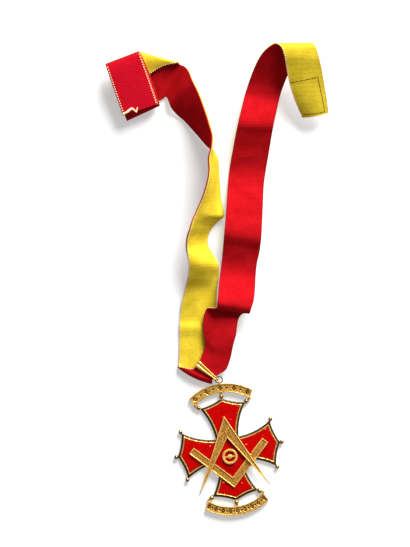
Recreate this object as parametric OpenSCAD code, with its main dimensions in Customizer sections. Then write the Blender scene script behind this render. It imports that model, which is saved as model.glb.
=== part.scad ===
// Order jewel on its folded neck ribbon, laid flat on a surface, face up. Millimetres, +Z up.
// The origin is the centre of the cross on its flat back, which rests on the surface.

/* [Cross] */
// Distance from the centre to the point of each arm
arm_tip = 27.9; // [26:0.1:30]
// Half the width of an arm at its outer corners
arm_corner_x = 12.4; // [11:0.1:13]
// Distance of those corners from the centre, along the arm
arm_corner_y = 24.0; // [23:0.1:25]
// Half the width of the waist, where two arms meet
arm_waist = 6.2; // [5:0.1:7]
// Hollow of the arm's long sides
side_hollow = 1.3; // [0.6:0.1:1.8]
// Hollow of the arm's two end edges
end_hollow = 0.65; // [0.3:0.05:1]
// Radius of the balls on the points
ball_r = 1.2; // [0.9:0.05:1.5]
// Thickness of the plate under the enamel
plate_t = 1.4; // [1:0.1:2]
// Height of the rim above the back face
rim_top = 2.4; // [2.2:0.05:3]
// Width of the whole rim, outer bevel included
rim_w = 1.7; // [1.4:0.1:2]
// Width of one step of the rim's outer bevel
rim_step = 0.55; // [0.3:0.05:0.7]
// Radius of the round enamel field under the square and compasses
field_r = 8.45; // [8:0.05:8.6]
// Distance of that field's middle below the centre
field_low = 3.8; // [3.5:0.1:4]

/* [Banners] */
// Distance of the arc's centre from the centre of the cross
banner_centre = 6.8; // [5:0.1:8]
// Outer radius of the band
banner_r = 29; // [28:0.1:30]
// Width of the band
banner_w = 4.75; // [4:0.05:5.5]
// Half the angle that the band spans, seen from the centre of the cross
banner_half = 30; // [26:1:32]
// Height of the sunken ground above the back face
banner_ground = 1.95; // [1.7:0.05:2.1]
// Depth of the sunken marks in that ground
mark_depth = 0.35; // [0.2:0.05:0.5]
// Height of the lozenges, across the band
mark_high = 3.3; // [2.4:0.1:3.4]
// Largest width of the lozenges, along the band
mark_wide = 2.8; // [2:0.1:3]
// Radius of the pellets between them
pellet_r = 0.6; // [0.4:0.05:0.7]
// Marks on the upper band
upper_marks = 9; // [5:2:11]
// Marks on the lower band
lower_marks = 17; // [9:2:19]

/* [Square and compasses] */
// Length of each arm of the square, outside
square_arm = 30.5; // [28:0.5:32]
// Width of the square's arms
square_w = 4.1; // [3.5:0.1:4.5]
// Distance of the square's outer corner below the centre
square_low = 20.8; // [20:0.1:22]
// Height of the square above the back face
square_top = 3.15; // [3:0.05:3.3]
// Outer apex of the compasses above the centre
compass_apex = 18.4; // [16:0.1:19]
// Inner apex of the compasses above the centre
compass_crotch = 6.3; // [5:0.1:7]
// Half the distance between the two needle points
compass_reach = 20.0; // [19:0.1:21]
// Distance of the needle points below the centre
compass_low = 23.2; // [22:0.1:24]
// Height of the compasses above the back face
compass_top = 4.0; // [3.8:0.05:4.3]
// Width of the raised border on both
border_w = 0.6; // [0.4:0.05:0.8]
// Depth of the sunken face inside the border
sunk = 0.4; // [0.2:0.05:0.5]
// Outer diameter of the small ring in the middle
annulet_d = 8.4; // [7:0.1:9]
// Width of that ring's band
annulet_w = 1.35; // [1:0.05:1.6]

/* [Hanging parts] */
// Length of the tapered bail, outside
bail_l = 15.4; // [14.6:0.1:16]
// Width of the bail where it wraps the ribbon's edge
bail_wide = 4.2; // [3.6:0.1:4.6]
// Width of the bail at the link ring
bail_narrow = 1.2; // [1.1:0.1:1.6]
// Thickness of the bail's wall
bail_t = 0.8; // [0.6:0.05:1]
// Radius of the link ring's centre line
link_r = 1.9; // [1.7:0.05:2]
// Radius of the link ring's wire
link_wire = 0.32; // [0.25:0.01:0.35]

/* [Ribbon] */
// Thickness of one of the two layers
layer_t = 0.55; // [0.4:0.05:0.6]
// Gap between the red and the yellow layer
layer_gap = 0.1; // [0.05:0.01:0.2]
// Longest step between two cross-sections
band_step = 3.4; // [2.5:0.1:6]
// Thickness of the closure tapes
tape_t = 1.1; // [0.8:0.1:1.4]
// Part of the ribbon's width that a closure tape covers
tape_share = 0.98; // [0.9:0.01:0.99]

/* [Hidden] */

// How far the medal is turned on the surface, and where the middle of the laid-out ribbon is
medal_turn = 8.3;
ribbon_at = [-6.4, 91.5, 0];

// Clearance between two metal pieces that lie on each other, and between a tape and the ribbon
clear = 0.05;
tape_gap = 0.2;
// Smoothness of the round parts
round_n = 96;

gilt = [0.78, 0.62, 0.30];
dark_brass = [0.38, 0.30, 0.16];
enamel_red = [0.78, 0.01, 0.02];
silk_red = [0.80, 0.09, 0.11];
silk_yellow = [0.91, 0.84, 0.19];
tape_red = [0.87, 0.16, 0.25];

// The ribbon, from its end with the hook tape to its end with the loop tape. Each row is one
// cross-section, measured from the middle of the laid-out ribbon: selvedge one, selvedge two,
// and how far the middle bows towards the yellow face.
// Columns: one_x, one_y, one_z, two_x, two_y, two_z, bow
RIBBON = [
    // End panel with the hook tape, yellow face up
    [-32.0,  95.0,  6.2, -50.8,  88.9,  6.3,  0.0],
    [-36.8, 108.9,  7.8, -55.4, 102.4,  7.8,  0.3],
    [-41.4, 122.0,  8.9, -59.8, 115.0,  8.7,  0.0],
    // Turned under at the top of the panel
    [-41.7, 123.0,  7.6, -60.1, 115.9,  7.4,  0.0],
    [-40.7, 121.1,  6.2, -59.3, 114.1,  6.0,  0.0],
    // Second layer, back down under the panel to the lower lip
    [-35.8, 109.4,  5.6, -54.3, 102.2,  5.4,  0.0],
    [-31.4,  96.0,  4.9, -49.4,  88.2,  4.8,  0.0],
    [-31.2,  94.4,  3.8, -48.7,  86.3,  3.7,  0.0],
    [-32.0,  96.2,  2.7, -49.5,  88.4,  2.5,  0.0],
    // Third layer, up again, its right side opening out past the panel
    [-37.6, 102.8,  2.9, -55.6, 105.6,  2.5,  0.0],
    [-37.5, 109.4,  3.2, -53.2, 115.6,  2.8,  0.2],
    [-33.4, 113.2,  4.1, -49.2, 118.6,  3.0,  0.3],
    [-27.0, 116.2,  6.5, -44.2, 121.2,  3.3,  0.2],
    // Rolled over at the top, red face up from here on
    [-21.6, 116.9,  8.2, -41.2, 122.4,  2.9,  0.0],
    [-20.8, 116.8,  6.8, -40.2, 119.2,  1.2,  0.0],
    [-20.5, 116.5,  5.2, -36.8, 104.0,  0.8,  0.0],
    [-20.1, 116.2,  4.2, -31.6,  97.0,  0.7,  0.0],
    // Valley where the left strand bends
    [-19.5, 115.9,  4.0, -28.2,  98.8,  0.7,  0.0],
    [-18.5, 115.5,  4.9, -27.4,  98.9,  1.2,  0.0],
    [-16.9, 114.5,  7.6, -26.4,  98.0,  2.4,  0.0],
    [-15.2, 112.2,  9.4, -25.5,  95.8,  3.2,  0.0],
    // Left strand, its right side raised more and more up to the twist
    [-13.2, 107.8, 10.6, -24.4,  93.0,  2.6,  0.0],
    [-10.0, 100.6, 13.2, -21.6,  89.6,  1.2,  0.0],
    [ -6.8,  91.8, 16.2, -17.4,  86.1,  0.7,  0.0],
    [ -4.0,  83.0, 18.6, -10.8,  79.0,  0.7,  0.0],
    [ -2.6,  76.6, 19.6,  -5.4,  72.8,  0.7,  0.0],
    // Twist, and yellow face up below it, the left side standing high
    [ -3.1,  71.0, 20.0,  -2.2,  69.8,  0.7,  0.0],
    [ -4.4,  65.6, 19.6,   0.0,  65.6,  0.7,  0.0],
    [ -4.2,  58.2, 19.3,   0.7,  58.2,  0.7,  0.0],
    [ -5.6,  50.8, 19.0,   1.2,  51.2,  0.7,  0.0],
    [ -8.0,  43.6, 17.6,   1.9,  43.8,  0.8,  0.0],
    // Wave in the strand, where its low side comes to a point, swings left and back
    [-10.5,  38.0, 16.6,   3.1,  37.4,  1.6,  0.1],
    [-11.6,  35.4, 16.2,   3.5,  34.6,  2.4, -0.3],
    [-12.8,  32.8, 16.2,   1.2,  32.6,  1.7, -0.4],
    [-14.4,  28.6, 15.8,  -3.2,  28.6,  0.8, -0.6],
    [-15.8,  23.6, 14.6,  -5.2,  23.4,  0.7, -0.8],
    [-16.4,  18.2, 13.0,  -4.8,  18.0,  0.7, -0.6],
    [-15.9,  13.8, 12.4,  -2.0,  12.8,  2.2,  0.6],
    [-15.2,   9.6, 11.2,   0.5,   8.8,  4.4,  1.0],
    [-15.5,   2.6,  7.6,   0.7,   1.6,  2.2,  0.5],
    [-17.2,  -5.0,  3.2,   0.0,  -5.0,  1.0,  0.0],
    [-19.4, -14.0,  1.4,  -0.4, -15.0,  0.8,  0.0],
    // Lower part of the strand, flat on the surface
    [-20.1, -21.8,  0.8,  -0.4, -22.0,  0.7,  0.0],
    [-20.2, -25.4,  1.8,  -0.4, -26.0,  0.9,  0.0],
    [-20.3, -31.0,  0.8,  -0.5, -31.8,  0.7,  0.0],
    [-20.4, -36.0,  0.7,  -0.6, -38.4,  0.7,  0.0],
    [-20.6, -42.6,  0.7,  -2.1, -50.6,  0.7,  0.0],
    [-20.7, -45.0,  0.8,  -2.6, -53.6,  0.8,  0.0],
    // Slanting fold at the bottom, and the flap that runs up through the bail
    [-20.9, -46.8,  1.9,  -2.8, -55.6,  1.8, -1.3],
    [-19.4, -47.1,  3.0,  -2.7, -54.5,  2.9, -0.8],
    [-16.4, -47.8,  3.2,  -2.4, -53.8,  3.2,  0.0],
    [-13.4, -48.2,  3.3,  -2.1, -53.1,  3.3,  0.0],
    [-11.0, -46.8,  3.3,  -1.1, -52.2,  3.3,  0.0],
    [ -9.6, -44.6,  3.2,   1.2, -50.6,  3.1, -0.4],
    [ -8.4, -41.8,  2.9,   4.6, -48.2,  2.4, -1.2],
    [ -7.3, -38.8,  2.7,   6.9, -42.6,  3.4, -1.2],
    [ -6.2, -34.4,  3.0,   8.6, -34.8,  5.4, -1.2],
    [ -6.9, -29.6,  3.4,  10.2, -29.2,  6.2, -0.8],
    [ -7.5, -22.2,  3.3,  11.2, -22.0,  5.6,  0.0],
    // Tuck across the right strand, its upper part lapping over
    [ -6.6, -18.0,  3.4,  12.4, -19.4,  5.4,  0.0],
    [ -5.4, -15.4,  4.2,  14.4, -17.6,  5.8,  0.0],
    [ -3.2, -15.2,  6.2,  16.2, -17.4,  7.2,  0.0],
    [ -0.2, -15.0,  9.0,  17.6, -17.4,  9.2,  0.0],
    [  0.1, -12.6, 10.6,  18.4, -15.0, 10.4,  0.0],
    [  0.5,  -9.6,  9.8,  19.6, -11.4,  9.4,  0.0],
    // Right strand, red face up, in long low waves
    [  0.9,  -4.0,  6.4,  20.4,  -4.6,  5.4,  0.0],
    [  1.9,   4.4,  3.2,  20.7,   1.6,  2.2,  0.0],
    [  2.7,  11.0,  3.0,  21.4,   8.8,  2.6,  0.0],
    [  3.4,  18.6,  5.6,  22.8,  15.2,  4.2,  0.0],
    [  4.0,  25.6,  8.8,  23.7,  22.4,  7.2,  0.0],
    [  4.9,  36.4,  6.6,  24.4,  35.2,  5.2,  0.0],
    [  5.9,  51.0,  2.0,  25.2,  51.4,  1.2,  0.0],
    [  6.8,  60.0,  0.9,  26.3,  59.4,  0.8,  0.0],
    [  8.6,  70.4,  3.8,  28.0,  69.6,  3.6,  0.0],
    [ 10.4,  80.0,  7.6,  29.6,  79.6,  7.4,  0.0],
    [ 11.6,  85.6,  9.4,  30.7,  85.4,  9.2,  0.0],
    [ 13.2,  92.0,  7.4,  32.2,  92.0,  7.4,  0.0],
    [ 15.6, 101.6,  3.2,  34.4, 101.0,  3.0,  0.0],
    // Big open curl at the end, back over itself, yellow face up
    [ 18.8, 111.0,  6.2,  37.2, 108.6,  4.6,  0.0],
    [ 22.8, 119.6, 11.2,  41.0, 116.6,  8.8,  0.0],
    [ 27.0, 124.6, 14.6,  45.8, 122.8, 12.6,  0.0],
    [ 31.4, 126.8, 17.0,  50.8, 127.0, 15.8,  0.0],
    [ 34.4, 125.0, 18.4,  52.8, 125.4, 17.4,  0.0],
    [ 36.2, 120.4, 17.8,  54.4, 120.8, 17.0,  0.3],
    [ 37.3, 114.4, 15.4,  56.1, 114.2, 14.8,  0.4],
    [ 38.9, 106.2, 12.4,  57.6, 105.8, 12.0,  0.6],
    [ 42.0,  97.0,  9.0,  59.0,  97.4,  9.2,  1.2],
    [ 46.2,  87.8,  5.0,  59.9,  90.2,  6.4,  1.8]
];
// Cross-sections of the panel that the hook tape covers, and of the curl that the loop tape does
hook_rows = [0, 2];
loop_rows = [len(RIBBON) - 4, len(RIBBON) - 1];
// Segments across the ribbon
across = 4;

function unit(v) = v / norm(v);
function edge_one(row) = [row[0], row[1], row[2]];
function edge_two(row) = [row[3], row[4], row[5]];
function middle(row) = (edge_one(row) + edge_two(row)) / 2;
function total(list, upto, i = 0) = i >= upto ? 0 : list[i] + total(list, upto, i + 1);

// Mean travel of the two selvedges between neighbouring rows, its square root as the spline's
// spacing, and the number of steps in each stretch
last_row = len(RIBBON) - 1;
travel = [for (i = [0 : last_row - 1])
    (norm(edge_one(RIBBON[i + 1]) - edge_one(RIBBON[i]))
     + norm(edge_two(RIBBON[i + 1]) - edge_two(RIBBON[i]))) / 2];
space = [for (d = travel) sqrt(d)];
steps = [for (d = travel) max(2, ceil(d / band_step))];

// Slope of every column at a row, and the curve through all rows
function slope(i) =
    i == 0 ? (RIBBON[1] - RIBBON[0]) / space[0] :
    i == last_row ? (RIBBON[i] - RIBBON[i - 1]) / space[i - 1] :
    ((RIBBON[i + 1] - RIBBON[i]) / space[i] * space[i - 1]
     + (RIBBON[i] - RIBBON[i - 1]) / space[i - 1] * space[i]) / (space[i - 1] + space[i]);
function blend_rows(i, s) =
    (2 * pow(s, 3) - 3 * pow(s, 2) + 1) * RIBBON[i]
    + (pow(s, 3) - 2 * pow(s, 2) + s) * space[i] * slope(i)
    + (3 * pow(s, 2) - 2 * pow(s, 3)) * RIBBON[i + 1]
    + (pow(s, 3) - pow(s, 2)) * space[i] * slope(i + 1);
SECTIONS = concat(
    [for (i = [0 : last_row - 1]) for (k = [0 : steps[i] - 1]) blend_rows(i, k / steps[i])],
    [RIBBON[last_row]]);
last_section = len(SECTIONS) - 1;
function section_at(row) = total(steps, row);

// Unit normal of each section on its yellow side, and points on and beside the middle surface;
// v runs from -1 at selvedge two to 1 at selvedge one
SECTION_N = [for (i = [0 : last_section])
    unit(cross(edge_one(SECTIONS[i]) - edge_two(SECTIONS[i]),
               middle(SECTIONS[min(i + 1, last_section)]) - middle(SECTIONS[max(i - 1, 0)])))];
function on_band(i, v) =
    middle(SECTIONS[i]) + v * (edge_one(SECTIONS[i]) - edge_two(SECTIONS[i])) / 2
    + SECTIONS[i][6] * (1 - v * v) * SECTION_N[i];
function band_normal(i, v) =
    unit(cross(on_band(i, v + 0.05) - on_band(i, v - 0.05),
               on_band(min(i + 1, last_section), v) - on_band(max(i - 1, 0), v)));
function beside_band(i, v, off) = on_band(i, v) + off * band_normal(i, v);

// A closed strip of the ribbon from section "from" to section "to", over the part "share" of
// its width, between two distances from the middle surface
module band(from, to, share, low, high) {
    count = to - from;
    wide = across + 1;
    layer = (count + 1) * wide;
    top = [for (i = [from : to]) for (j = [0 : across])
        beside_band(i, share * (2 * j / across - 1), high)];
    base = [for (i = [from : to]) for (j = [0 : across])
        beside_band(i, share * (2 * j / across - 1), low)];
    over = [for (i = [0 : count - 1]) for (j = [0 : across - 1])
        let (p = i * wide + j)
        each [[p, p + 1, p + wide + 1], [p, p + wide + 1, p + wide]]];
    under = [for (f = over) [f[2] + layer, f[1] + layer, f[0] + layer]];
    sides = [for (i = [0 : count - 1]) for (j = [0, across])
        let (p = i * wide + j, q = p + wide)
        each j == 0
            ? [[p, q, q + layer], [p, q + layer, p + layer]]
            : [[q, p, p + layer], [q, p + layer, q + layer]]];
    ends = [for (i = [0, count]) for (j = [0 : across - 1])
        let (p = i * wide + j, q = p + 1)
        each i == 0
            ? [[q, p, p + layer], [q, p + layer, q + layer]]
            : [[p, q, q + layer], [p, q + layer, p + layer]]];
    translate(ribbon_at)
        polyhedron(points = concat(top, base), faces = concat(over, under, sides, ends));
}

// Radius and centre of an arc over the chord p to q, hollow to its right by the given depth
function arc_radius(p, q, hollow) = (pow(norm(q - p) / 2, 2) + hollow * hollow) / (2 * hollow);
function arc_centre(p, q, hollow) =
    (p + q) / 2 + (arc_radius(p, q, hollow) - hollow) * unit([(q - p)[1], (p - q)[0]]);

// Outline of the upper arm, its edges moved in by the given amount
module arm_outline(inset) {
    waist = [arm_waist, arm_waist];
    corner = [arm_corner_x, arm_corner_y];
    tip = [0, arm_tip];
    difference() {
        polygon([[0, 0], waist, corner, tip, [-corner[0], corner[1]], [-waist[0], waist[1]]]);
        for (side = [0, 1]) mirror([side, 0]) {
            translate(arc_centre(waist, corner, side_hollow))
                circle(arc_radius(waist, corner, side_hollow) + inset, $fn = 2 * round_n);
            translate(arc_centre(corner, tip, end_hollow))
                circle(arc_radius(corner, tip, end_hollow) + inset, $fn = 2 * round_n);
        }
    }
}

// The four arms as one plate between two heights
module arms(low, high, inset) {
    translate([0, 0, low])
        for (turn = [0 : 90 : 270])
            rotate(turn) linear_extrude(high - low) arm_outline(inset);
}

// Rim of the arms between two heights, from one inset to another
module arm_ring(low, high, outer, inner) {
    difference() {
        arms(low, high, outer);
        arms(low - 1, high + 1, inner);
    }
}

// Outline of the upper banner, its edges moved in by the given amount
module banner_outline(inset) {
    reach = banner_centre + banner_r + 5;
    half = banner_half;
    intersection() {
        translate([0, banner_centre]) difference() {
            circle(banner_r - inset, $fn = 2 * round_n);
            circle(banner_r - banner_w + inset, $fn = 2 * round_n);
        }
        translate([0, inset / sin(half)])
            polygon([[0, 0], [reach * tan(half), reach], [-reach * tan(half), reach]]);
    }
}

module lozenge(wide, high) {
    polygon([[wide / 2, 0], [0, high / 2], [-wide / 2, 0], [0, -high / 2]]);
}

// Marks of one banner, hollow lozenges that alternate with pellets
module banner_marks(marks) {
    middle_r = banner_r - banner_w / 2;
    spread = banner_half + asin(banner_centre * sin(banner_half) / middle_r) - 1;
    step = 2 * spread / marks;
    wide = min(mark_wide, 1.24 * step * PI / 180 * middle_r);
    for (i = [0 : marks - 1])
        translate([0, banner_centre]) rotate((i - (marks - 1) / 2) * step)
            translate([0, middle_r])
                if (i % 2 == 0) difference() {
                    lozenge(wide, mark_high);
                    lozenge(0.4 * wide, 0.36 * mark_high);
                }
                else circle(pellet_r, $fn = 24);
}

// One banner: sunken ground with its marks, and raised rim
module banner(marks) {
    difference() {
        linear_extrude(banner_ground) banner_outline(0);
        translate([0, 0, banner_ground - mark_depth]) linear_extrude(1) banner_marks(marks);
    }
    linear_extrude(rim_top) difference() {
        banner_outline(0);
        banner_outline(border_w);
    }
}

// Balls of one arm, a little past its middle point and its two corners
module arm_balls() {
    past_tip = 0.9;
    past_corner = [0.6, 0.5];
    corner = [arm_corner_x, arm_corner_y] + past_corner;
    for (p = [[0, arm_tip + past_tip], corner, [-corner[0], corner[1]]])
        translate([p[0], p[1], ball_r + 0.1]) sphere(ball_r, $fn = 32);
}

// Short bars that join an arm's three points to its banner
module banner_bars() {
    bar_w = 1.4;
    bar_h = 1.6;
    bar_low = 0.2;
    bar_turn = 52;
    bar_l = 4.3;
    translate([-bar_w / 2, arm_tip - 0.8, bar_low]) cube([bar_w, bar_l, bar_h]);
    for (side = [-1, 1])
        translate([side * (arm_corner_x - 0.4), arm_corner_y - 0.6, bar_low]) rotate(-side * bar_turn)
            translate([-bar_w / 2, 0, 0]) cube([bar_w, bar_l, bar_h]);
}

module on_medal() {
    rotate(medal_turn) children();
}

module cross_frame() {
    color(gilt) on_medal() {
        arms(0, plate_t, 0);
        translate([0, -field_low, 0]) cylinder(r = field_r + 0.9, h = plate_t, $fn = round_n);
        difference() {
            union() {
                arm_ring(plate_t - 0.1, (plate_t + rim_top) / 2, rim_step, rim_w);
                arm_ring((plate_t + rim_top) / 2 - 0.1, rim_top, 2 * rim_step, rim_w);
            }
            translate([0, -field_low, plate_t]) cylinder(r = field_r + clear, h = 2, $fn = round_n);
        }
        for (turn = [0 : 90 : 270]) rotate(turn) arm_balls();
        for (turn = [0, 180]) rotate(turn) {
            banner(turn == 0 ? upper_marks : lower_marks);
            banner_bars();
        }
        translate(eyelet_at) rotate([0, 90, 0])
            rotate_extrude($fn = 48) translate([eyelet_r, 0]) circle(eyelet_wire, $fn = 24);
    }
}

module cross_enamel() {
    low = plate_t + clear;
    high = rim_top - 0.15;
    color(enamel_red) on_medal() {
        arms(low, high, rim_w + clear);
        translate([0, -field_low, low]) cylinder(r = field_r, h = high - low, $fn = round_n);
    }
}

// L of the square, its edges moved in by the given amount
module square_outline(inset) {
    translate([0, -square_low]) rotate(45) difference() {
        translate([inset, inset]) square(square_arm - 2 * inset);
        translate([square_w - inset, square_w - inset]) square(square_arm);
    }
}

module set_square() {
    low = rim_top + clear;
    color(gilt) on_medal() difference() {
        translate([0, 0, low]) linear_extrude(square_top - low) square_outline(0);
        translate([0, 0, square_top - sunk]) linear_extrude(1) square_outline(border_w);
    }
}

// Two legs of the compasses, their edges moved in by the given amount
module compass_outline(inset) {
    outer = compass_reach / (compass_apex + compass_low);
    inner = compass_reach / (compass_crotch + compass_low);
    apex = compass_apex - inset / sin(atan(outer));
    crotch = compass_crotch + inset / sin(atan(inner));
    tip_y = (crotch * inner - apex * outer) / (inner - outer);
    tip_x = (apex - tip_y) * outer;
    polygon([[0, apex], [tip_x, tip_y], [0, crotch], [-tip_x, tip_y]]);
}

module compasses() {
    low = rim_top + clear;
    color(gilt) on_medal() difference() {
        translate([0, 0, low]) linear_extrude(compass_top - low) compass_outline(0);
        translate([0, 0, compass_top - sunk]) linear_extrude(1) compass_outline(border_w);
        linear_extrude(square_top + clear) square_outline(-clear);
    }
}

// Small ring with a pellet in its middle on a thin cross bar
module annulet() {
    low = rim_top + clear;
    inner = annulet_d - 2 * annulet_w;
    bar_w = 0.9;
    bar_end = 0.2;
    color(gilt) on_medal() translate([0, -field_low, low]) {
        difference() {
            cylinder(d = annulet_d, h = 1.0, $fn = round_n);
            translate([0, 0, -1]) cylinder(d = inner, h = 3, $fn = round_n);
        }
        cylinder(r = 1.25, h = 0.9, $fn = 48);
        translate([-inner / 2 - bar_end, -bar_w / 2, 0]) cube([inner + 2 * bar_end, bar_w, 0.6]);
    }
}

// Middle of the upper banner's eyelet on the medal, the radius of its centre line and of its
// wire, and how steeply the link ring leans on it
eyelet_at = [0.1, banner_centre + banner_r + 0.5, 1.9];
eyelet_r = 0.85;
eyelet_wire = 0.35;
link_tilt = 25;
// Place of the bail's wide end beside the medal, its direction, and the heights of its two runs
bail_start = [-17.7, 46.9];
bail_turn = -38.5;
bail_back = 1.4;
bail_front = 5.5;
// How much lower the bail is at the link ring, and its groove's share of the width at each end
bail_fall = 0.7;
groove_wide = 0.32;
groove_narrow = 0.25;

module link_ring() {
    color(dark_brass) on_medal() translate(eyelet_at) rotate([link_tilt, 0, 0])
        translate([0, link_r, 0]) rotate_extrude($fn = 48)
            translate([link_r, 0]) circle(link_wire, $fn = 24);
}

// Side outline of the bail's loop: a long stadium, lower at the link ring than at the wide end
module bail_side(inset) {
    wide_r = (bail_front - bail_back) / 2 - inset;
    slim_r = (bail_front - bail_back - bail_fall) / 2 - inset;
    hull() {
        translate([wide_r + inset, bail_back + wide_r + inset]) circle(wide_r, $fn = 32);
        translate([bail_l - slim_r - inset, bail_back + slim_r + inset]) circle(slim_r, $fn = 32);
    }
}

// Plan of the bail, a slim wedge of the given widths
module bail_plan(wide, narrow) {
    linear_extrude(bail_front + 2)
        polygon([[-1, -wide / 2], [bail_l + 1, -narrow / 2], [bail_l + 1, narrow / 2], [-1, wide / 2]]);
}

module bail_loop(outer, inner, width) {
    rotate([90, 0, 0]) translate([0, 0, -width / 2]) linear_extrude(width) difference() {
        bail_side(outer);
        bail_side(inner);
    }
}

module bail() {
    color(gilt) translate([bail_start[0], bail_start[1], 0]) rotate(bail_turn) difference() {
        intersection() {
            bail_loop(0, bail_t, 2 * bail_wide);
            bail_plan(bail_wide, bail_narrow);
        }
        intersection() {
            bail_loop(-1, bail_t * 0.45, 2 * bail_wide);
            bail_plan(bail_wide * groove_wide, bail_narrow * groove_narrow);
        }
    }
}

module ribbon_red() {
    color(silk_red)
        band(0, last_section, 1, -layer_gap / 2 - layer_t, -layer_gap / 2);
}

module ribbon_yellow() {
    color(silk_yellow)
        band(0, last_section, 1, layer_gap / 2, layer_gap / 2 + layer_t);
}

module hook_tape() {
    start = layer_gap / 2 + layer_t + tape_gap;
    color(tape_red)
        band(section_at(hook_rows[0]), section_at(hook_rows[1]), tape_share, start, start + tape_t);
}

module loop_tape() {
    start = layer_gap / 2 + layer_t + tape_gap;
    color(tape_red)
        band(section_at(loop_rows[0]), section_at(loop_rows[1]), tape_share, -start - tape_t, -start);
}

cross_frame();
cross_enamel();
set_square();
compasses();
annulet();
link_ring();
bail();
ribbon_red();
ribbon_yellow();
hook_tape();
loop_tape();
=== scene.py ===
"""Builds the visual model of an order jewel on its folded neck ribbon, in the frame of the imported
model: +Z up, the origin at the centre of the cross on its flat back. Lengths are millimetres in
the tables and formulas, metres in the settings and in the finished meshes."""

import math

import bpy
import numpy as np
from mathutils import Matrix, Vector


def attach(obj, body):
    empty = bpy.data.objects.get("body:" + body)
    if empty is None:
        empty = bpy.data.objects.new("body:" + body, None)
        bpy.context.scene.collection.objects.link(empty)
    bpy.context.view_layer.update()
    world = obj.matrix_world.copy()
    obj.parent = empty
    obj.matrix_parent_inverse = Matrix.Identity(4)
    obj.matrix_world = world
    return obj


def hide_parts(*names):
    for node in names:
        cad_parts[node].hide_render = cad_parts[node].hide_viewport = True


bl_info = {
    "name": "Order jewel on a neck ribbon",
    "version": (1, 0, 0),
    "blender": (4, 5, 0),
    "location": "View3D > Sidebar > Jewel",
    "description": "Builds a cross jewel and its folded two-coloured ribbon",
    "category": "Add Mesh",
}

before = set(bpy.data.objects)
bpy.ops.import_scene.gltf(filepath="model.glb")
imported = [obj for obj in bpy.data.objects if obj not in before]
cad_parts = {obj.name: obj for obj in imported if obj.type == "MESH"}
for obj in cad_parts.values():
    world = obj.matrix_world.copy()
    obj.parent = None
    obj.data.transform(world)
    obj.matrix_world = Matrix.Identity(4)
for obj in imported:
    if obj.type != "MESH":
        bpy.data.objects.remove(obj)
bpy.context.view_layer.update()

MM = 0.001
MIRROR = np.array([-1, 1])

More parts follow.
